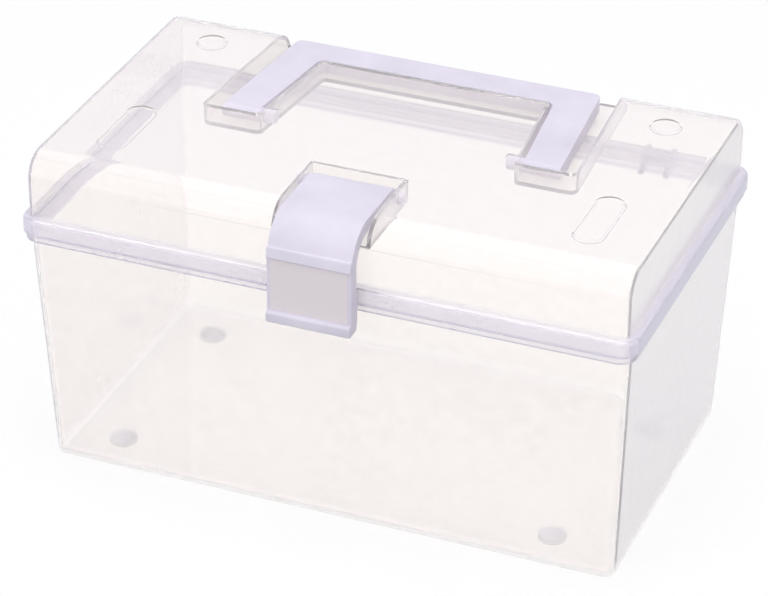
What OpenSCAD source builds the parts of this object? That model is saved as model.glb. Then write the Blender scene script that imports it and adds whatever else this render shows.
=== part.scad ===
// Clear handled storage case for photo prints.
// X runs along the front, Y from the front to the back, Z up.
// The origin is under the middle of the case, on the surface it stands on.

/* [Case] */
// Outer width over the lid's skirt
rim_w = 200; // [180:1:230]
// Outer depth over the lid's skirt
rim_d = 119.4; // [114:0.2:135]
// Corner radius of the lid's skirt
rim_r = 6.5; // [5.5:0.1:9]
// Height of the bin, from its underside to the top of its wall
bin_h = 87.3; // [60:0.1:120]
// Height of the lid above its ledge
dome_h = 20.6; // [18:0.1:32]

/* [Bin] */
// Wall thickness of the bin
bin_t = 1.2; // [1:0.1:1.6]
// Thickness of the bin's bottom
floor_t = 1.6; // [1.2:0.1:2.4]
// How far each end wall leans in towards the bottom
side_draft = 3.35; // [1:0.05:6]
// How far the front and back walls lean in towards the bottom
front_draft = 4.85; // [1:0.05:7]
// Radius of the bin's upright corners
bin_r = 4; // [3:0.1:5]
// Radius of the edge round the bin's bottom
bottom_r = 2.3; // [1.9:0.1:2.8]
// Thickness of the lip round the mouth
lip_t = 2; // [1.4:0.1:2.6]
// Height of the bin's wall above the lip
lip_drop = 4.05; // [3.2:0.05:4.3]
// How far the lip stays inside the line of the skirt
lip_inset = 0.8; // [0.5:0.1:1.1]

/* [Lid] */
// Thickness of the lid's walls and top
lid_t = 1; // [0.8:0.05:1.2]
// Width of the ledge round the dome
ledge_w = 2.9; // [2.7:0.1:3.2]
// Height of the skirt that hangs round the mouth
skirt_h = 5.6; // [5.4:0.1:6.4]
// Radius of the skirt's upper edge
skirt_edge_r = 1.4; // [0.8:0.1:1.6]
// Radius of the fillets along the front and the back of the top
dome_r = 8.6; // [7.5:0.1:9.5]
// Radius of the edge round each end of the dome
dome_edge_r = 1.7; // [1.5:0.1:2]

/* [Stacking dimples] */
// Depth of the four dimples
dimple_depth = 0.6; // [0.4:0.05:0.8]
// Diameter of the two round dimples, and width of the two long ones
dimple_d = 9.4; // [8:0.1:11]
// Length of the long dimples
dimple_l = 28.7; // [20:0.1:32]
// Width of the sloping side of the dimples
dimple_slope = 0.7; // [0.3:0.1:1]
// Distance of the dimples' middle from the ends of the lid's top
dimple_inset = 19.9; // [16:0.1:24]
// Distance of the round dimples' middle from the back of the top
round_dimple_inset = 19.5; // [16:0.1:27]
// Distance of the long dimples' middle from the front of the top
long_dimple_inset = 30.2; // [27:0.1:33]

/* [Handle] */
// Width over the grip's ends
grip_w = 103.6; // [96:0.2:108]
// Depth of the grip, front to back
grip_d = 10.8; // [9:0.1:11.5]
// Distance from the pivot to the grip's back edge
handle_reach = 49.4; // [46:0.1:50.5]
// Width of each arm
arm_w = 12; // [10:0.1:12.6]
// How far each arm spreads outwards from the grip to the pivot
arm_flare = 4.2; // [2:0.1:5]
// Thickness of the handle
handle_t = 5; // [4.4:0.1:5.4]
// Distance of the grip from the back of the lid's top
grip_inset = 6.8; // [5.8:0.1:8]
// Radius of the grip's inner corners
grip_nook_r = 3; // [2:0.1:4]
// How much less the radius of the pivot bosses is than half the handle's thickness
boss_step = 0.1; // [0.05:0.05:0.8]
// Length of the pivot bosses beyond the arms
boss_l = 5.6; // [4:0.1:7]
// Wall left round the hollow underside of the handle
handle_wall = 1.7; // [1.2:0.1:2.2]
// Depth of the hollow in the handle's underside
handle_hollow = 3.1; // [2:0.1:3.4]

/* [Handle recess] */
// Depth of the recess floor below the top
recess_depth = 6.6; // [5.9:0.05:7]
// Room outside each arm, at the grip
grip_room = 5.8; // [4:0.1:8.5]
// Room outside each arm, at the pivot
pivot_room = 5.4; // [4:0.1:7.5]
// Clearance between the handle and the raised middle of the top
handle_play = 1; // [0.5:0.1:1.4]
// Clearance in front of the arms, which tip forwards over it
front_play = 1.5; // [1.4:0.1:2.2]
// Radius of the recess's outer corners in front of the arms
recess_corner_r = 1.8; // [0.6:0.1:2.4]

/* [Latch] */
// Width of the latch
latch_w = 27.2; // [22:0.2:34]
// How far the latch stands in front of the skirt
latch_reach = 6.7; // [6.2:0.1:7.4]
// Thickness of the latch's shell
latch_t = 2; // [1.6:0.1:2.2]
// Height of the latch's side flanges, with the shell
flange_h = 4.4; // [3.8:0.1:4.8]
// Thickness of the side flanges
flange_t = 1.8; // [1.2:0.1:2.4]
// Radius of the bend over the front of the lid
latch_bend_r = 13; // [11:0.1:14]
// Distance of the hinge behind the front of the skirt
latch_run = 27.3; // [26:0.1:28.5]
// Depth of the hinge below the top
latch_pivot_z = 3.6; // [3.4:0.05:3.9]
// Radius of the barrel at the hinge
barrel_r = 3; // [2.6:0.05:3.1]
// Radius of the latch's pivot bosses
stub_r = 1.8; // [1.4:0.1:2]
// Length of the latch's pivot bosses beyond its sides
stub_l = 4; // [3.4:0.1:5]
// How far the latch reaches below the bin's lip
latch_drop = 5.8; // [5.2:0.1:8]
// Height of the thumb panel
panel_h = 25.2; // [22:0.1:26.5]
// Height of the ridge's flat face above the thumb panel
ridge_h = 0.6; // [0.4:0.1:2]
// Depth of the thumb panel's face behind the ridge
panel_sink = 0.7; // [0.3:0.1:0.8]

/* [Latch pocket] */
// Depth of the pocket below the top
pocket_depth = 7.4; // [7.2:0.1:7.8]
// Clearance on each side of the latch
latch_play = 1.3; // [0.6:0.1:1.6]
// Room in the pocket behind the latch's hinge
latch_room = 6.4; // [4.6:0.1:7]

/* [Rear hinge] */
// Distance of the middle of each hinge from the ends of the skirt
hinge_inset = 32; // [20:0.5:55]
// Width of the knuckle on the lid
knuckle_w = 6; // [5:0.5:18]
// Width of each ear on the bin
ear_w = 1.8; // [1.5:0.1:5]
// Radius of the knuckle and the ears
knuckle_r = 3; // [2.7:0.05:3.1]
// Height of the ears' square rear corner above the hinge line
ear_top = 2.7; // [2.2:0.05:2.72]
// Height of the rib under each ear
ear_rib_h = 3.5; // [3:0.5:16]
// Distance of the hinge line behind the skirt
hinge_gap = 3.7; // [3.65:0.05:4]
// Radius of the hinge pins
pin_r = 1.25; // [0.9:0.05:1.4]

/* [Feet] */
// Diameter of the bumper feet
foot_d = 9; // [7:0.1:11]
// Thickness of the bumper feet
foot_h = 0.9; // [0.8:0.1:2]
// Distance of the feet's middle from the ends of the bottom
foot_end_inset = 16.35; // [10:0.05:24]
// Distance of the feet's middle from the front and the back of the bottom
foot_side_inset = 17.55; // [10:0.05:24]
// How far the front right foot was stuck inwards of its place
foot_stray = 9; // [0:0.1:12]

/* [Hidden] */

// Overrun of every cut past the face it goes through
cut = 1;
// Gap between the closed lid's skirt and the bin's lip
seat_gap = 0.3;
// Gap between the bin's wall and the inside of the skirt
skirt_play = 1.3;
// Radial clearance of a pivot or pin that turns
turn_fit = 0.06;
// Radial clearance of a pin held in the bin's ears
hold_fit = 0.02;
// Gap on each side of a knuckle or a pin's end
side_gap = 0.3;
// How far the handle lies below the top
handle_sink = 0.3;
// Gap between the latch and the skirt or the lip
catch_gap = 0.3;
// Height of the catch rib inside the latch
catch_h = 2.2;
// How far the latch's lower lip stands out from the ridge
thumb_lip = 0.5;
// Height of the latch's lower lip
thumb_lip_h = 3.6;
// Height of the ridge's slope
panel_step = 2.8;
// How far the ridge stands out from the bend above it
panel_proud = 0.8;
// Extra width all round of the pad under each dimple
dimple_pad = 0.3;
// Radius of the edge under each foot
foot_edge = 0.3;
// Radius of the grip's outer corners
grip_corner_r = 2.4;
// Chamfer at the end of each pivot boss
boss_chamfer = 0.4;
// Least radius left on an inner edge or corner of the lid
least_r = 0.2;
// Steps round a full circle
round_steps = 64;
// Steps round a full circle where corners are joined into one skin
skin_steps = 32;

// Levels
bin_z = foot_h;
bin_top_z = bin_z + bin_h;
lip_z = bin_top_z - lip_drop;
skirt_z = lip_z + seat_gap;
ledge_z = skirt_z + skirt_h;
top_z = ledge_z + dome_h;

// Plan sizes of the bin
bin_top_w = rim_w - 2 * (lid_t + skirt_play);
bin_top_d = rim_d - 2 * (lid_t + skirt_play);
bin_low_w = bin_top_w - 2 * side_draft;
bin_low_d = bin_top_d - 2 * front_draft;

// Plan sizes of the dome
dome_w = rim_w - 2 * ledge_w;
dome_d = rim_d - 2 * ledge_w;

// Places of the dimples, the rear hinges and the feet
dimple_x = dome_w / 2 - dimple_inset;
round_dimple_y = dome_d / 2 - round_dimple_inset;
long_dimple_y = dome_d / 2 - long_dimple_inset;
hinge_x = rim_w / 2 - hinge_inset;
foot_x = bin_low_w / 2 - foot_end_inset;
foot_y = bin_low_d / 2 - foot_side_inset;

// Places of the moving parts
handle_pivot_z = top_z - handle_sink - handle_t / 2;
arm_end_r = handle_t / 2;
boss_r = arm_end_r - boss_step;
grip_back_y = dome_d / 2 - grip_inset;
grip_front_y = grip_back_y - grip_d;
handle_pivot_y = grip_back_y - handle_reach;
arm_out_back = grip_w / 2;
arm_out_front = arm_out_back + arm_flare;
arm_in_back = arm_out_back - arm_w;
arm_in_front = arm_out_front - arm_w;
hinge_y = rim_d / 2 + hinge_gap;
hinge_z = lip_z;
latch_pivot_y = rim_d / 2 - latch_run;
latch_hinge_z = top_z - latch_pivot_z;
latch_front_y = rim_d / 2 + latch_reach;
latch_top_z = latch_hinge_z + barrel_r;
latch_low_z = lip_z - lip_t - latch_drop;
latch_skin_y = latch_front_y - panel_proud - thumb_lip;
latch_back_y = rim_d / 2 + catch_gap;
pocket_half = latch_w / 2 + latch_play;
pocket_rear_y = latch_pivot_y - latch_room;

// A rectangle with round corners, centred
module round_rect(w, d, r) {
    square([w - 2 * r, d], center = true);
    square([w, d - 2 * r], center = true);
    for (x = [-1, 1], y = [-1, 1]) {
        translate([x * (w / 2 - r), y * (d / 2 - r)])
            circle(r, $fn = round_steps);
    }
}

// An outline drawn in Y and Z, stretched along X
module along_x(w, x = 0) {
    translate([x, 0, 0])
        rotate([90, 0, 90])
            linear_extrude(w, center = true)
                children();
}

// A cylinder along X
module rod_x(r, w, x, y, z) {
    translate([x, y, z])
        rotate([0, 90, 0])
            cylinder(r = r, h = w, center = true, $fn = round_steps);
}

// One round corner of the bin, with a rounded lower edge
module bin_corner(r, edge) {
    rotate_extrude($fn = skin_steps)
        intersection() {
            union() {
                square([r - edge, 2 * edge]);
                translate([r - edge, edge])
                    circle(edge, $fn = skin_steps);
            }
            square([r, edge]);
        }
}

// The tapered body of the bin, or its inside when inset by the wall
module bin_body(inset, low_z, high_z, r, edge) {
    hull() {
        for (x = [-1, 1], y = [-1, 1]) {
            translate([x * (bin_low_w / 2 - inset - r), y * (bin_low_d / 2 - inset - r), low_z])
                bin_corner(r, edge);
            translate([x * (bin_top_w / 2 - inset - r), y * (bin_top_d / 2 - inset - r), bin_top_z])
                cylinder(r = r, h = high_z - bin_top_z, $fn = skin_steps);
        }
    }
}

// Outline of one hinge ear, in Y and Z from the hinge line
module ear_outline() {
    circle(knuckle_r, $fn = round_steps);
    square([knuckle_r, ear_top]);
    polygon([
        [0, 0],
        [knuckle_r, 0],
        [knuckle_r, -knuckle_r],
        [-hinge_gap - lid_t - skirt_play - bin_t / 2, -ear_rib_h],
        [-hinge_gap - lid_t - skirt_play - bin_t / 2, 0]
    ]);
}

module hinge_ears() {
    for (side = [-1, 1], end = [-1, 1]) {
        translate([side * hinge_x + end * (knuckle_w / 2 + side_gap + ear_w / 2), hinge_y, hinge_z])
            along_x(ear_w)
                ear_outline();
    }
}

module bin() {
    color([0.95, 0.94, 0.95, 0.35])
        difference() {
            union() {
                bin_body(0, bin_z, bin_top_z + cut, bin_r, bottom_r);
                translate([0, 0, lip_z - lip_t])
                    linear_extrude(lip_t)
                        round_rect(rim_w - 2 * lip_inset, rim_d - 2 * lip_inset, rim_r - lip_inset);
                hinge_ears();
            }
            bin_body(bin_t, bin_z + floor_t, bin_top_z + 2 * cut, bin_r - bin_t, bottom_r - bin_t);
            translate([0, 0, bin_top_z + cut])
                cube([rim_w, rim_d, 2 * cut], center = true);
            for (side = [-1, 1]) {
                rod_x(pin_r + hold_fit, pin_length() + 2 * cut, side * hinge_x, hinge_y, hinge_z);
            }
        }
}

function pin_length() = knuckle_w + 2 * side_gap + 2 * ear_w;

// A quarter of a disc
module quarter(r) {
    intersection() {
        circle(r, $fn = round_steps);
        square([r, r]);
    }
}

// One end of the dome, laid flat with its outside up, X for the dome's depth and Y for its height;
// one rounded edge runs up the corners, over the fillets and along the top
module dome_end(half_d, low_z, high_z, r, edge_r) {
    linear_extrude(edge_r) {
        translate([-half_d + edge_r, low_z])
            square([2 * (half_d - edge_r), high_z - r - low_z]);
        translate([-half_d + r, low_z])
            square([2 * (half_d - r), high_z - edge_r - low_z]);
    }
    translate([-half_d + r, high_z - edge_r, 0])
        rotate([90, 0, 90])
            linear_extrude(2 * (half_d - r))
                quarter(edge_r);
    for (back = [0, 1]) {
        mirror([back, 0, 0]) {
            translate([half_d - edge_r, high_z - r, 0])
                rotate([90, 0, 0])
                    linear_extrude(high_z - r - low_z)
                        quarter(edge_r);
            translate([half_d - r, high_z - r, 0])
                rotate_extrude(angle = 90, $fn = round_steps) {
                    square([r - edge_r, edge_r]);
                    translate([r - edge_r, 0])
                        quarter(edge_r);
                }
        }
    }
}

// The lid's dome, drawn in by inset, down to low_z
module dome_block(inset, low_z) {
    high_z = top_z - inset;
    half_w = dome_w / 2 - inset;
    half_d = dome_d / 2 - inset;
    r = dome_r - inset;
    edge_r = max(dome_edge_r - inset, least_r);
    along_x(2 * (half_w - edge_r)) {
        translate([-half_d, low_z])
            square([2 * half_d, high_z - low_z - r]);
        translate([-half_d + r, low_z])
            square([2 * (half_d - r), high_z - low_z]);
        for (y = [-1, 1]) {
            translate([y * (half_d - r), high_z - r])
                circle(r, $fn = round_steps);
        }
    }
    for (left = [0, 1]) {
        mirror([left, 0, 0])
            translate([half_w - edge_r, 0, 0])
                rotate([90, 0, 90])
                    dome_end(half_d, low_z, high_z, r, edge_r);
    }
}

// One corner of the rim, with a rounded upper edge
module rim_corner() {
    cylinder(r = rim_r, h = skirt_h - skirt_edge_r, $fn = skin_steps);
    translate([0, 0, skirt_h - skirt_edge_r])
        rotate_extrude($fn = skin_steps)
            intersection() {
                union() {
                    square([rim_r - skirt_edge_r, skirt_edge_r]);
                    translate([rim_r - skirt_edge_r, 0])
                        circle(skirt_edge_r, $fn = skin_steps);
                }
                square([rim_r, skirt_edge_r]);
            }
}

module rim_block() {
    hull() {
        for (x = [-1, 1], y = [-1, 1]) {
            translate([x * (rim_w / 2 - rim_r), y * (rim_d / 2 - rim_r), skirt_z])
                rim_corner();
        }
    }
}

// What lies outside an arc of radius r that rounds the corner at p,
// between its edges towards a and b
module off_corner(p, a, b, r) {
    to_a = (a - p) / norm(a - p);
    to_b = (b - p) / norm(b - p);
    half_angle = acos(to_a * to_b) / 2;
    middle = p + r / sin(half_angle) * (to_a + to_b) / norm(to_a + to_b);
    overrun_share = (r + cut) / r;
    difference() {
        polygon([
            middle,
            middle + overrun_share * (p + r / tan(half_angle) * to_a - middle),
            middle + overrun_share * (p - middle),
            middle + overrun_share * (p + r / tan(half_angle) * to_b - middle)
        ]);
        translate(middle)
            circle(r, $fn = round_steps);
    }
}

// Plan of the handle recess, grown outwards by grow; its back runs out of the lid
function recess_plan(grow) =
    let (
        front_y = handle_pivot_y - arm_end_r - front_play - grow,
        end_y = dome_d / 2,
        out_front = arm_out_front + pivot_room + grow,
        out_back = arm_out_back + grip_room + grow,
        in_front = arm_in_front - handle_play - grow,
        in_back = arm_in_back - handle_play - grow,
        middle_y = grip_front_y - handle_play - grow
    )
    [
        [-out_front, front_y], [-in_front, front_y], [-in_back, middle_y],
        [in_back, middle_y], [in_front, front_y], [out_front, front_y],
        [out_back, end_y], [-out_back, end_y]
    ];

module recess(grow, low_z) {
    plan = recess_plan(grow);
    last = len(plan) - 1;
    nook_r = max(grip_nook_r - handle_play - grow, least_r);
    inner_r = min(recess_corner_r, handle_play) + grow;
    translate([0, 0, low_z])
        linear_extrude(top_z + cut - low_z)
            difference() {
                union() {
                    polygon(plan);
                    for (i = [2, 3])
                        off_corner(plan[i], plan[i - 1], plan[i + 1], nook_r);
                }
                for (i = [1, 4])
                    off_corner(plan[i], plan[i - 1], plan[i + 1], inner_r);
                for (i = [0, 5])
                    off_corner(plan[i], plan[i > 0 ? i - 1 : last], plan[i + 1], recess_corner_r + grow);
            }
}

// The latch's pocket, open to the front
module pocket(grow, low_z) {
    front = dome_d / 2;
    rear = pocket_rear_y - grow;
    translate([-pocket_half - grow, -front, low_z])
        cube([2 * (pocket_half + grow), front - rear, top_z + cut - low_z]);
}

// Plan of one dimple's pad, grown outwards by grow
module dimple_plan(grow, length) {
    straight = length - dimple_d;
    if (straight > 0) {
        square([dimple_d + 2 * grow, straight], center = true);
        translate([0, -straight / 2])
            circle(dimple_d / 2 + grow, $fn = round_steps);
    }
    translate([0, max(straight, 0) / 2])
        circle(dimple_d / 2 + grow, $fn = round_steps);
}

// Half of a dimple seen from its end, from its middle outwards; its slope runs on past the top
module dimple_side() {
    polygon([
        [0, -dimple_depth], [dimple_d / 2 - dimple_slope, -dimple_depth],
        [dimple_d / 2 + dimple_slope * cut / dimple_depth, cut], [0, cut]
    ]);
}

// One dimple, with its top at the height of the origin
module dimple(length) {
    straight = length - dimple_d;
    if (straight > 0) {
        for (back = [0, 1]) {
            mirror([0, back, 0])
                translate([0, straight / 2, 0])
                    rotate_extrude(angle = 180, $fn = round_steps)
                        dimple_side();
        }
        translate([0, straight / 2, 0])
            rotate([90, 0, 0])
                linear_extrude(straight) {
                    dimple_side();
                    mirror([1, 0]) dimple_side();
                }
    }
    if (straight <= 0)
        rotate_extrude($fn = round_steps)
            dimple_side();
}

module dimples() {
    for (side = [-1, 1]) {
        translate([side * dimple_x, round_dimple_y, top_z])
            dimple(dimple_d);
        translate([side * dimple_x, -long_dimple_y, top_z])
            dimple(dimple_l);
    }
}

// The pads that keep the lid's thickness under the dimples
module dimple_pads() {
    low_z = top_z - dimple_depth - lid_t;
    for (side = [-1, 1]) {
        translate([side * dimple_x, round_dimple_y, low_z])
            linear_extrude(top_z - low_z)
                dimple_plan(dimple_pad, dimple_d);
        translate([side * dimple_x, -long_dimple_y, low_z])
            linear_extrude(top_z - low_z)
                dimple_plan(dimple_pad, dimple_l);
    }
}

module knuckles() {
    for (side = [-1, 1]) {
        rod_x(knuckle_r, knuckle_w, side * hinge_x, hinge_y, hinge_z);
        translate([side * hinge_x, hinge_y, hinge_z])
            along_x(knuckle_w)
                translate([-hinge_gap - lid_t / 2, seat_gap])
                    square([hinge_gap + lid_t / 2, knuckle_r - seat_gap]);
    }
}

// The hollow of the lid, with the recess, the pocket and the pads left standing in it
module lid_inside() {
    difference() {
        dome_block(lid_t, skirt_z - cut);
        recess(lid_t, top_z - recess_depth - lid_t);
        pocket(lid_t, top_z - pocket_depth - lid_t);
        dimple_pads();
    }
}

module lid() {
    color([0.96, 0.95, 0.97, 0.35])
        difference() {
            union() {
                dome_block(0, skirt_z);
                rim_block();
                knuckles();
            }
            lid_inside();
            translate([0, 0, skirt_z - cut])
                linear_extrude(skirt_h - lid_t + cut)
                    round_rect(rim_w - 2 * lid_t, rim_d - 2 * lid_t, rim_r - lid_t);
            recess(0, top_z - recess_depth);
            pocket(0, top_z - pocket_depth);
            dimples();
            for (side = [-1, 1]) {
                rod_x(pin_r + turn_fit, knuckle_w + 2 * cut, side * hinge_x, hinge_y, hinge_z);
                rod_x(boss_r + turn_fit, boss_l + 2 * side_gap,
                    side * (arm_in_front - boss_l / 2), handle_pivot_y, handle_pivot_z);
                rod_x(stub_r + turn_fit, stub_l + 2 * side_gap,
                    side * (latch_w / 2 + stub_l / 2), -latch_pivot_y, latch_hinge_z);
            }
        }
}

// Plan of the handle, drawn in by inset; its arms end at the pivot line
function bail_plan(inset, end_y) = [
    [-arm_out_front + inset, end_y], [-arm_in_front - inset, end_y],
    [-arm_in_back - inset, grip_front_y + inset], [arm_in_back + inset, grip_front_y + inset],
    [arm_in_front + inset, end_y], [arm_out_front - inset, end_y],
    [arm_out_back - inset, grip_back_y - inset], [-arm_out_back + inset, grip_back_y - inset]
];

// A pivot boss along X with a chamfered end, pointing to -X when side is 1
module boss(r, length, side, x, y, z) {
    translate([x, y, z])
        rotate([0, -side * 90, 0]) {
            cylinder(r = r, h = length - boss_chamfer, $fn = round_steps);
            translate([0, 0, length - boss_chamfer])
                cylinder(r1 = r, r2 = r - boss_chamfer, h = boss_chamfer, $fn = round_steps);
        }
}

// The handle in plan, with its outer and inner corners rounded
module handle_plan() {
    difference() {
        union() {
            polygon(bail_plan(0, handle_pivot_y));
            for (side = [-1, 1])
                off_corner([side * arm_in_back, grip_front_y], [side * arm_in_front, handle_pivot_y],
                    [0, grip_front_y], grip_nook_r);
        }
        for (side = [-1, 1])
            off_corner([side * arm_out_back, grip_back_y], [side * arm_out_front, handle_pivot_y],
                [0, grip_back_y], grip_corner_r);
    }
}

module handle() {
    low_z = handle_pivot_z - handle_t / 2;
    color([0.93, 0.91, 0.96, 0.9]) {
        difference() {
            translate([0, 0, low_z])
                linear_extrude(handle_t)
                    handle_plan();
            translate([0, 0, low_z - cut])
                linear_extrude(handle_hollow + cut)
                    polygon(bail_plan(handle_wall, handle_pivot_y + arm_end_r + handle_wall));
        }
        for (side = [-1, 1]) {
            rod_x(arm_end_r, arm_w, side * (arm_in_front + arm_w / 2), handle_pivot_y, handle_pivot_z);
            boss(boss_r, boss_l, side, side * arm_in_front, handle_pivot_y, handle_pivot_z);
        }
    }
}

// Outer line of the latch, seen from its side, down to the thumb panel:
// flat from the barrel, round the bend, then straight down; drawn in by inset
module latch_side(inset) {
    bend_y = -latch_skin_y + latch_bend_r;
    bend_z = latch_top_z - latch_bend_r;
    intersection() {
        union() {
            translate([bend_y, bend_z - latch_bend_r])
                square([-latch_pivot_y - bend_y, 2 * latch_bend_r - inset]);
            translate([-latch_skin_y + inset, latch_low_z])
                square([latch_bend_r - inset + cut, bend_z - latch_low_z]);
            translate([bend_y, bend_z])
                circle(latch_bend_r - inset, $fn = round_steps);
        }
        translate([-latch_skin_y, latch_low_z])
            square([latch_skin_y - latch_pivot_y, latch_top_z - latch_low_z]);
    }
}

// The curved shell, as deep as depth, seen from the side
module latch_strip(depth) {
    difference() {
        latch_side(0);
        latch_side_hollow(depth);
    }
}

// What is hollow behind a strip of the latch
module latch_side_hollow(depth) {
    bend_y = -latch_skin_y + latch_bend_r;
    bend_z = latch_top_z - latch_bend_r;
    translate([bend_y, bend_z])
        circle(latch_bend_r - depth, $fn = round_steps);
    translate([bend_y, latch_low_z - cut])
        square([-latch_pivot_y - bend_y + cut, latch_top_z - depth - latch_low_z + cut]);
    translate([-latch_skin_y + depth, latch_low_z - cut])
        square([latch_bend_r - depth + cut, bend_z - latch_low_z + cut]);
}

// The thumb panel with its step and its lower lip, seen from the side
module panel_side() {
    panel_top = latch_low_z + panel_h;
    front = -latch_front_y + thumb_lip;
    polygon([
        [-latch_skin_y + latch_t, latch_low_z],
        [-latch_front_y + thumb_lip / 2, latch_low_z],
        [-latch_front_y, latch_low_z + thumb_lip],
        [-latch_front_y, latch_low_z + thumb_lip_h - thumb_lip],
        [front, latch_low_z + thumb_lip_h],
        [front, panel_top - panel_step],
        [-latch_skin_y, panel_top],
        [-latch_skin_y + latch_t, panel_top]
    ]);
}

// The part of each flange that reaches back to the rim, below the lid's ledge
module flange_foot() {
    polygon([
        [-latch_skin_y, latch_low_z],
        [-latch_skin_y + latch_t, latch_low_z],
        [-latch_back_y, latch_low_z + latch_t],
        [-latch_back_y, ledge_z - skirt_edge_r],
        [-latch_skin_y + flange_h, ledge_z],
        [-latch_skin_y, ledge_z]
    ]);
}

module latch() {
    rib_top = lip_z - lip_t - catch_gap;
    color([0.91, 0.89, 0.93, 0.9]) {
        difference() {
            union() {
                along_x(latch_w) {
                    latch_strip(latch_t);
                    panel_side();
                }
                for (side = [-1, 1]) {
                    along_x(flange_t, side * (latch_w - flange_t) / 2) {
                        latch_strip(flange_h);
                        flange_foot();
                    }
                }
                rod_x(barrel_r, latch_w, 0, -latch_pivot_y, latch_hinge_z);
                along_x(latch_w)
                    polygon([
                        [-latch_skin_y + latch_t / 2, rib_top - catch_h],
                        [-latch_skin_y + latch_t, rib_top - catch_h],
                        [-latch_back_y, rib_top - catch_h / 2],
                        [-latch_back_y, rib_top],
                        [-latch_skin_y + latch_t / 2, rib_top]
                    ]);
            }
            translate([-latch_w / 2 - cut, -latch_front_y - cut, latch_low_z + thumb_lip_h])
                cube([
                    latch_w + 2 * cut, cut + thumb_lip + panel_sink,
                    panel_h - panel_step - ridge_h - thumb_lip_h
                ]);
        }
        for (side = [-1, 1]) {
            boss(stub_r, stub_l, -side, side * latch_w / 2, -latch_pivot_y, latch_hinge_z);
        }
    }
}

module hinge_pin(side) {
    color([0.92, 0.91, 0.94, 0.9])
        rod_x(pin_r, pin_length(), side * hinge_x, hinge_y, hinge_z);
}

module hinge_pin_left() {
    hinge_pin(-1);
}

module hinge_pin_right() {
    hinge_pin(1);
}

module foot(x, y) {
    color([0.84, 0.84, 0.87, 0.7])
        translate([x, y, 0])
            rotate_extrude($fn = round_steps)
                polygon([
                    [0, 0], [foot_d / 2 - foot_edge, 0], [foot_d / 2, foot_edge],
                    [foot_d / 2, foot_h], [0, foot_h]
                ]);
}

module foot_front_left() {
    foot(-foot_x, -foot_y);
}

module foot_front_right() {
    foot(foot_x - foot_stray, -foot_y);
}

module foot_back_left() {
    foot(-foot_x, foot_y);
}

module foot_back_right() {
    foot(foot_x, foot_y);
}

bin();
lid();
handle();
latch();
hinge_pin_left();
hinge_pin_right();
foot_front_left();
foot_front_right();
foot_back_left();
foot_back_right();
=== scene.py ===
import math

import bmesh
import bpy
from mathutils import Matrix, Vector


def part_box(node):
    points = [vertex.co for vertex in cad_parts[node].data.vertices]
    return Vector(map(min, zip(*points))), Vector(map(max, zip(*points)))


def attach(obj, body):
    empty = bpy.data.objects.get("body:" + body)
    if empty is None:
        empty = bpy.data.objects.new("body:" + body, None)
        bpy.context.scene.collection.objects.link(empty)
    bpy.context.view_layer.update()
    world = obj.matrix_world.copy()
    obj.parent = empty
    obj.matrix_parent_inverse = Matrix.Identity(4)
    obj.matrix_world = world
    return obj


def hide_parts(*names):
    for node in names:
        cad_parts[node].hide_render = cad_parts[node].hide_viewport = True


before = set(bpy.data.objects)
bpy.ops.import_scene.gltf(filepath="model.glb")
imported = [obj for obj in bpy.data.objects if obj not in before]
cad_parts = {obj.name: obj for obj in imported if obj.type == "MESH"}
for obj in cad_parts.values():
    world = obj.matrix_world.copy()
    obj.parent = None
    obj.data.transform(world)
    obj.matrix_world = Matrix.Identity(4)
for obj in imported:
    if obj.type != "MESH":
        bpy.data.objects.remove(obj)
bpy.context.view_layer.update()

# The camera, at the photograph's viewing angle
FOCAL_PX = 3458.08
PHOTO_W_PX = 768
CAMERA_DISTANCE = 1.09849
CAMERA_AZIMUTH = 21.62
CAMERA_ELEVATION = 30.45
CAMERA_ROLL = 0.40
CAMERA_TARGET = Vector((-0.00172, 0, 0.05118))
SENSOR_W = 36

# Clear plastic: its colours, and how a ray's angle, depth and height choose between them, with painted
# light off the table along its lowest band
CLEAR_IOR = 1.3
CLEAR_ROUGH = 0.045
SCUFF_ROUGH = 0.03
BODY_ROUGH = 0.15
COAT_SHARE = 0.3
COAT_ROUGH = 0.03
COAT_IOR = 1.5
CLOUD_SCALE = 45
SPECK_SCALE = 260
SCUFF_FROM = 0.15
SCUFF_TO = 0.55
WAVE_SCALE = 38
WAVE_STRENGTH = 0.08
WAVE_HEIGHT = 0.0006
CLEAR_SHADE = (0.99, 0.985, 0.98)
CLEAR_TINT = (0.996, 0.975, 0.958)
CLEAR_INSIDE = (0.80, 0.78, 0.86)
CLEAR_DENSITY = 8
CLEAR_WARM = (0.96, 0.93, 0.915)
CLEAR_COOL = (0.80, 0.78, 0.93)
CLEAR_EDGE = (0.97, 0.95, 1.0)
COOL_POWER = 3
ASIDE_FROM = 0.35
ASIDE_TO = 0.7
GRAZE_POWER = 2.2
GRAZE_SHARE = 0.8
GRAZE_MOST = 0.45
HAZE_SHARE = 0.025
SCUFF_SHARE = 0.03
DEEP_FROM = 5
DEEP_TO = 10
DEEP_SHARE = 0.4
RIM_SHARE = 0.22
RIM_COOL = 0.7
ASIDE_SHARE = 0.25
# Painted light off the table: below this height the clear plastic turns partly see-through and loses its
# grazing milkiness, so its lowest band stays bright
TABLE_LIGHT_LOW = 0.0015
TABLE_LIGHT_FADE = 0.005
TABLE_LIGHT_SHARE = 0.75
RIM_LOW = 0.0815
RIM_HIGH = 0.0905
RIM_FADE = 0.0006

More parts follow.
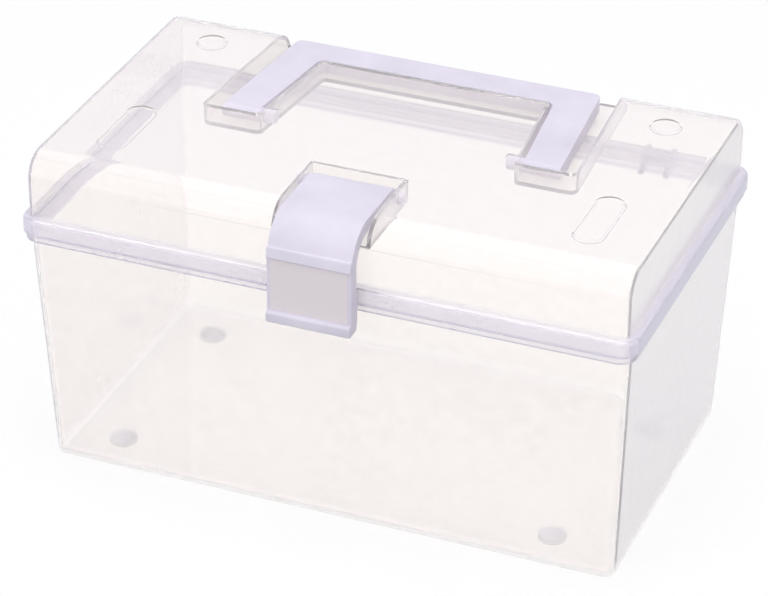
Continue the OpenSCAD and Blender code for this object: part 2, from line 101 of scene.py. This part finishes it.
# Milky plastic, of the handle, latch and pins, and frosted plastic, of the feet
MILKY_SCALE = 60
MILKY_FROM = 0.3
MILKY_TO = 0.75
MILKY_SPREAD = 0.15
MILKY_SPECULAR = 0.35
MILKY_SCATTER = 0.25
SCATTER_DEPTH = 0.0015
GRAIN_SCALE = 2600
GRAIN_STRENGTH = 0.15
GRAIN_HEIGHT = 0.0001
HANDLE_ROUGH = 0.3
LATCH_ROUGH = 0.36
BUMPER_ROUGH = 0.3
MILKY_TOP = (0.855, 0.81, 0.92)
MILKY_DEEP = (0.76, 0.72, 0.82)
BUMPER_TOP = (0.84, 0.855, 0.91)
BUMPER_DEEP = (0.72, 0.73, 0.79)
# The thumb panel's tone: partly its frosted finish, partly painted shade of the recessed panel
PANEL_FROST_AND_SHADE = (0.88, 0.82, 0.845)

# The latch's thumb panel, from the latch's lower end, and the border left round it
LATCH_W = 0.0272
PANEL_LOW = 0.0038
PANEL_HIGH = 0.0216
PANEL_BORDER = 0.0009
PANEL_DEPTH = 0.0018

# Edges: width and segments of the rounds, and the points and faces that are merged first
HANDLE_ROUND = (0.0006, 4)
LATCH_ROUND = (0.0004, 3)
FOOT_ROUND = (0.00025, 3)
CLEAR_ROUND = (0.00025, 2)
ROUND_ANGLE = 35
SMOOTH_ANGLE = 30
FLAT_ANGLE = 0.5
WELD_GAP = 0.000001
MERGE_GAP = 0.00002

# The feet are drawn this much smaller, because their tops and the bin's underside are in one plane
FOOT_GAP = 0.00002

# Light
BOUNCES = 32
WORLD_STRENGTH = 0.75
KEY_POWER = 9
TOP_POWER = 6.6
FILL_POWER = 2
LAMP_AIM = (0, 0, 0.05)
FLOOR_SIZE = 8
FLOOR_COLOUR = 0.4
FLOOR_GLOW = 0.63

scene = bpy.context.scene


def make_camera():
    az, el = math.radians(CAMERA_AZIMUTH), math.radians(CAMERA_ELEVATION)
    roll = math.radians(CAMERA_ROLL)
    ahead = Vector((-math.sin(az) * math.cos(el), math.cos(az) * math.cos(el), -math.sin(el)))
    right = ahead.cross(Vector((0, 0, 1))).normalized()
    up = right.cross(ahead)
    rolled_right = right * math.cos(roll) + up * math.sin(roll)
    rolled_up = up * math.cos(roll) - right * math.sin(roll)
    data = bpy.data.cameras.new("camera")
    data.sensor_fit = "HORIZONTAL"
    data.sensor_width = SENSOR_W
    data.lens = FOCAL_PX * SENSOR_W / PHOTO_W_PX
    data.clip_start, data.clip_end = 0.01, 100
    camera = bpy.data.objects.new("camera", data)
    turn = Matrix((rolled_right, rolled_up, -ahead)).transposed()
    camera.matrix_world = Matrix.Translation(CAMERA_TARGET - ahead * CAMERA_DISTANCE) @ turn.to_4x4()
    scene.collection.objects.link(camera)
    scene.camera = camera


make_camera()

scene.view_settings.view_transform = "Standard"
scene.cycles.max_bounces = BOUNCES
scene.cycles.transmission_bounces = BOUNCES
scene.cycles.glossy_bounces = BOUNCES
scene.cycles.transparent_max_bounces = BOUNCES


class Nodes:
    """A short way to build a node tree. An input is named, or is i and its number."""

    def __init__(self, owner):
        owner.use_nodes = True
        self.tree = owner.node_tree
        self.tree.nodes.clear()

    def add(self, kind, settings=None, **inputs):
        made = self.tree.nodes.new(kind)
        for key, value in (settings or {}).items():
            setattr(made, key, value)
        for key, value in inputs.items():
            self.feed(made, key.replace("_", " "), value)
        return made

    def feed(self, made, key, value):
        socket = made.inputs[int(key[1:])] if key[0] == "i" and key[1:].isdigit() else made.inputs[key]
        if isinstance(value, bpy.types.NodeSocket):
            self.tree.links.new(value, socket)
        elif isinstance(value, tuple) and len(value) == 3 and socket.type == "RGBA":
            socket.default_value = (*value, 1)
        else:
            socket.default_value = value

    def math(self, operation, a, b=0.0, c=0.0):
        return self.add("ShaderNodeMath", {"operation": operation}, i0=a, i1=b, i2=c).outputs[0]

    def noise(self, coords, scale, detail=2.0, roughness=0.5):
        made = self.add("ShaderNodeTexNoise", Scale=scale, Detail=detail, Roughness=roughness)
        self.tree.links.new(coords, made.inputs["Vector"])
        return made.outputs[0]

    def ramp(self, value, *stops):
        made = self.add("ShaderNodeValToRGB", Fac=value)
        stops_of = made.color_ramp.elements
        while len(stops_of) < len(stops):
            stops_of.new(1.0)
        for stop, (place, colour) in zip(stops_of, stops):
            stop.position = place
            stop.color = (*colour, 1) if isinstance(colour, tuple) else (colour, colour, colour, 1)
        return made.outputs[0]

    def mix(self, share, a, b):
        return self.add("ShaderNodeMixShader", i0=share, i1=a, i2=b).outputs[0]

    def blend(self, share, a, b):
        made = self.add("ShaderNodeMix", {"data_type": "RGBA"}, Factor=share)
        self.feed(made, "i6", a)
        self.feed(made, "i7", b)
        return made.outputs[2]

    def within(self, value, low, high, fade):
        """1 from low to high and 0 outside, with a slope of the width fade at each end."""
        over = self.add("ShaderNodeMapRange", Value=value, From_Min=low, From_Max=low + fade).outputs[0]
        under = self.add("ShaderNodeMapRange", Value=value, From_Min=high, From_Max=high - fade).outputs[0]
        return self.math("MULTIPLY", over, under)


def clear_plastic(name):
    """Clear plastic with a milky share: by haze and scuffs, at a grazing angle, in the rim, deep in; near
    the floor it is painted brighter, as if lit off the table.
    """
    mat = bpy.data.materials.new(name)
    n = Nodes(mat)
    place = n.add("ShaderNodeTexCoord").outputs["Object"]
    cloudy = n.noise(place, CLOUD_SCALE, 3.0)
    specks = n.noise(place, SPECK_SCALE, 1.0)
    scuffs = n.ramp(n.math("MULTIPLY", cloudy, specks), (SCUFF_FROM, 0.0), (SCUFF_TO, 1.0))
    wave = n.noise(place, WAVE_SCALE, 1.0)
    bump = n.add(
        "ShaderNodeBump", Strength=WAVE_STRENGTH, Distance=WAVE_HEIGHT, Height=wave,
    ).outputs[0]
    glass = n.add(
        "ShaderNodeBsdfPrincipled", Base_Color=CLEAR_TINT, IOR=CLEAR_IOR, Transmission_Weight=1.0,
        Roughness=n.math("MULTIPLY_ADD", scuffs, SCUFF_ROUGH, CLEAR_ROUGH), Normal=bump,
        Coat_Weight=COAT_SHARE, Coat_Roughness=COAT_ROUGH, Coat_IOR=COAT_IOR,
    ).outputs[0]
    facing = n.add("ShaderNodeLayerWeight", Blend=0.5).outputs["Facing"]
    graze = n.math("MULTIPLY", n.math("POWER", facing, GRAZE_POWER), GRAZE_SHARE)
    graze = n.math("MINIMUM", graze, GRAZE_MOST)
    haze = n.math("MULTIPLY_ADD", scuffs, SCUFF_SHARE, HAZE_SHARE)
    height = n.add("ShaderNodeSeparateXYZ", i0=place).outputs["Z"]
    # Painted light off the table: near the floor the grazing milky share is turned off, so the bottom edge
    # stays bright
    above_table_light = n.add(
        "ShaderNodeMapRange", Value=height, From_Min=TABLE_LIGHT_LOW, From_Max=TABLE_LIGHT_LOW + TABLE_LIGHT_FADE,
    ).outputs[0]
    graze = n.math("MULTIPLY", graze, above_table_light)
    rim = n.within(height, RIM_LOW, RIM_HIGH, RIM_FADE)
    path = n.add("ShaderNodeLightPath")
    deep = n.add(
        "ShaderNodeMapRange", Value=path.outputs["Ray Depth"], From_Min=DEEP_FROM, From_Max=DEEP_TO,
    ).outputs[0]
    aside = n.add(
        "ShaderNodeMapRange", Value=facing, From_Min=ASIDE_FROM, From_Max=ASIDE_TO,
    ).outputs[0]
    rim_cool = n.math("MULTIPLY", rim, n.math("MAXIMUM", aside, RIM_COOL))
    cool = n.math("MAXIMUM", rim_cool, n.math("POWER", facing, COOL_POWER))
    body_colour = n.blend(cool, CLEAR_WARM, CLEAR_COOL)
    body_colour = n.blend(deep, body_colour, CLEAR_EDGE)
    body = n.add(
        "ShaderNodeBsdfPrincipled", Base_Color=body_colour, Roughness=BODY_ROUGH,
    ).outputs[0]
    rim_share = n.math("MULTIPLY_ADD", aside, ASIDE_SHARE, RIM_SHARE)
    milky = n.math("MULTIPLY_ADD", rim, rim_share, haze)
    milky = n.math("MULTIPLY_ADD", deep, DEEP_SHARE, milky)
    share = n.add("ShaderNodeMath", {"operation": "ADD", "use_clamp": True}, i0=graze, i1=milky)
    dressed = n.mix(share.outputs[0], glass, body)
    see = n.add("ShaderNodeBsdfTransparent", Color=CLEAR_SHADE).outputs[0]
    # Painted light off the table: the lowest band is partly drawn see-through; shadow rays always pass
    table_light_and_shadow_see = n.math("MULTIPLY", n.math("SUBTRACT", 1.0, above_table_light), TABLE_LIGHT_SHARE)
    table_light_and_shadow_see = n.math("MAXIMUM", table_light_and_shadow_see, path.outputs["Is Shadow Ray"])
    surface = n.mix(table_light_and_shadow_see, dressed, see)
    inside = n.add(
        "ShaderNodeVolumeAbsorption", Color=CLEAR_INSIDE, Density=CLEAR_DENSITY,
    ).outputs[0]
    n.add("ShaderNodeOutputMaterial", Surface=surface, Volume=inside)
    return mat


def milky_plastic(name, top, deep, roughness, panel=None):
    """Cloudy translucent plastic; in the box panel a tone that is partly the frosted finish and partly
    painted shade of the recessed thumb panel.
    """
    mat = bpy.data.materials.new(name)
    n = Nodes(mat)
    place = n.add("ShaderNodeTexCoord").outputs["Object"]
    cloud = n.noise(place, MILKY_SCALE, 3.0)
    grain = n.noise(place, GRAIN_SCALE, 2.0)
    colour = n.blend(n.ramp(cloud, (MILKY_FROM, 0.0), (MILKY_TO, 1.0)), top, deep)
    if panel:
        apart = n.add("ShaderNodeSeparateXYZ", i0=place).outputs
        low, high = panel
        spots = [
            n.within(apart[axis], low[axis], high[axis], PANEL_BORDER / 2)
            for axis in range(3)
        ]
        mask = n.math("MULTIPLY", n.math("MULTIPLY", spots[0], spots[1]), spots[2])
        # Painted shade: the recessed thumb panel takes a greyer tone, partly its frosted finish and partly
        # painted shade
        colour = n.blend(mask, colour, PANEL_FROST_AND_SHADE)
    bump = n.add(
        "ShaderNodeBump", Strength=GRAIN_STRENGTH, Distance=GRAIN_HEIGHT, Height=grain,
    ).outputs[0]
    skin = n.add(
        "ShaderNodeBsdfPrincipled", Base_Color=colour, Normal=bump,
        Roughness=n.math("MULTIPLY_ADD", cloud, MILKY_SPREAD, roughness),
        Specular_IOR_Level=MILKY_SPECULAR, Subsurface_Weight=MILKY_SCATTER,
        Subsurface_Radius=(1, 1, 1), Subsurface_Scale=SCATTER_DEPTH,
    ).outputs[0]
    n.add("ShaderNodeOutputMaterial", Surface=skin)
    return mat


def soften(obj, width, segments):
    """Rounds a moulded piece's edges."""
    weld = obj.modifiers.new("weld", "WELD")
    weld.merge_threshold = WELD_GAP
    flatten = obj.modifiers.new("flatten", "DECIMATE")
    flatten.decimate_type = "DISSOLVE"
    flatten.angle_limit = math.radians(FLAT_ANGLE)
    bevel = obj.modifiers.new("bevel", "BEVEL")
    bevel.width = width
    bevel.segments = segments
    bevel.limit_method = "ANGLE"
    bevel.angle_limit = math.radians(ROUND_ANGLE)
    bevel.miter_outer = "MITER_ARC"
    normals = obj.modifiers.new("normals", "WEIGHTED_NORMAL")
    normals.keep_sharp = False


def moulded(node, body, mat):
    """A clear node's own shape again, with its rounds shaded smooth and its real edges kept."""
    shape = bmesh.new()
    shape.from_mesh(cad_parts[node].data)
    bmesh.ops.remove_doubles(shape, verts=shape.verts, dist=MERGE_GAP)
    bmesh.ops.dissolve_limit(
        shape, angle_limit=math.radians(FLAT_ANGLE), verts=shape.verts, edges=shape.edges,
    )
    for face in shape.faces:
        face.smooth = True
    mesh = bpy.data.meshes.new(node + "_skin")
    shape.to_mesh(mesh)
    shape.free()
    skin = bpy.data.objects.new(node + "_skin", mesh)
    scene.collection.objects.link(skin)
    mesh.materials.append(mat)
    bevel = skin.modifiers.new("bevel", "BEVEL")
    bevel.width, bevel.segments = CLEAR_ROUND
    bevel.limit_method = "ANGLE"
    bevel.angle_limit = math.radians(SMOOTH_ANGLE)
    bevel.use_clamp_overlap = False
    normals = skin.modifiers.new("normals", "WEIGHTED_NORMAL")
    normals.keep_sharp = False
    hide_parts(node)
    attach(skin, body)


def thumb_panel():
    """The box in which the latch's front face is its thumb panel."""
    low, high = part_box("latch")
    width = LATCH_W / 2
    return (
        (-width + PANEL_BORDER, low[1] - PANEL_DEPTH, low[2] + PANEL_LOW),
        (width - PANEL_BORDER, low[1] + PANEL_DEPTH, low[2] + PANEL_HIGH),
    )


milky = milky_plastic("handle_plastic", MILKY_TOP, MILKY_DEEP, HANDLE_ROUGH)
latch = milky_plastic("latch_plastic", MILKY_TOP, MILKY_DEEP, LATCH_ROUGH, thumb_panel())
bumper = milky_plastic("bumper_plastic", BUMPER_TOP, BUMPER_DEEP, BUMPER_ROUGH)
moulded("bin", "bin", clear_plastic("clear_bin"))
moulded("lid", "lid", clear_plastic("clear_lid"))

for name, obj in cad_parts.items():
    if name in ("bin", "lid"):
        continue
    mat = {"handle": milky, "latch": latch}.get(name) or (bumper if name.startswith("foot") else milky)
    obj.data.materials.clear()
    obj.data.materials.append(mat)
    if name == "handle":
        soften(obj, *HANDLE_ROUND)
    if name == "latch":
        soften(obj, *LATCH_ROUND)
    if name.startswith("foot"):
        soften(obj, *FOOT_ROUND)
        shrink = obj.modifiers.new("shrink", "DISPLACE")
        shrink.strength = -FOOT_GAP
        shrink.mid_level = 0


def make_floor():
    """A pale floor that a camera, mirror or clear piece sees as white, with its shadows kept."""
    bpy.ops.mesh.primitive_plane_add(size=FLOOR_SIZE, location=(0, 0, 0))
    floor = bpy.context.object
    floor.name = "floor"
    mat = bpy.data.materials.new("floor")
    n = Nodes(mat)
    path = n.add("ShaderNodeLightPath").outputs
    seen = n.math("MAXIMUM", path["Is Camera Ray"], path["Is Glossy Ray"])
    seen = n.math("MAXIMUM", seen, path["Is Transmission Ray"])
    seen = n.math("MULTIPLY", seen, FLOOR_GLOW)
    glow = n.add("ShaderNodeEmission", Color=(1, 1, 1), Strength=seen).outputs[0]
    matt = n.add("ShaderNodeBsdfDiffuse", Color=(FLOOR_COLOUR, FLOOR_COLOUR, FLOOR_COLOUR)).outputs[0]
    both = n.add("ShaderNodeAddShader", i0=matt, i1=glow).outputs[0]
    n.add("ShaderNodeOutputMaterial", Surface=both)
    floor.data.materials.append(mat)


make_floor()


def make_world():
    """White to the camera, a soft room to mirrors and clear pieces, and a plain light to the rest."""
    world = bpy.data.worlds.new("studio")
    scene.world = world
    n = Nodes(world)
    around = n.add("ShaderNodeTexCoord").outputs["Generated"]
    rise = n.add("ShaderNodeSeparateXYZ", i0=around).outputs["Z"]
    shade = n.ramp(
        rise, (0.0, (0.95, 0.95, 0.96)), (0.15, (0.9, 0.9, 0.92)), (0.4, (0.45, 0.45, 0.5)),
        (0.7, (0.55, 0.55, 0.6)), (1.0, (1, 1, 1)),
    )
    light = n.add("ShaderNodeBackground", Color=shade, Strength=WORLD_STRENGTH).outputs[0]
    room = n.ramp(
        rise, (0.0, (0.98, 0.98, 0.99)), (0.15, (0.92, 0.91, 0.95)), (0.4, (0.72, 0.70, 0.78)),
        (0.7, (0.84, 0.83, 0.89)), (1.0, (1, 1, 1)),
    )
    mirrored = n.add("ShaderNodeBackground", Color=room, Strength=1.0).outputs[0]
    shown = n.add("ShaderNodeBackground", Color=(1, 1, 1), Strength=1.0).outputs[0]
    path = n.add("ShaderNodeLightPath").outputs
    through = n.math("MAXIMUM", path["Is Glossy Ray"], path["Is Transmission Ray"])
    unseen = n.mix(through, light, mirrored)
    n.add("ShaderNodeOutputWorld", Surface=n.mix(path["Is Camera Ray"], unseen, shown))


make_world()


def softbox(name, place, size, power):
    data = bpy.data.lights.new(name, "AREA")
    data.shape = "RECTANGLE"
    data.size, data.size_y = size
    data.energy = power
    lamp = bpy.data.objects.new(name, data)
    lamp.location = place
    lamp.rotation_mode = "QUATERNION"
    lamp.rotation_quaternion = (Vector(LAMP_AIM) - Vector(place)).to_track_quat("-Z", "Y")
    scene.collection.objects.link(lamp)


softbox("key", (-0.5, -1.1, 0.7), (2.5, 1.7), KEY_POWER)
softbox("fill", (1.1, -0.5, 0.6), (0.9, 0.7), FILL_POWER)
softbox("top", (0.1, 0.1, 1.2), (2.0, 1.5), TOP_POWER)
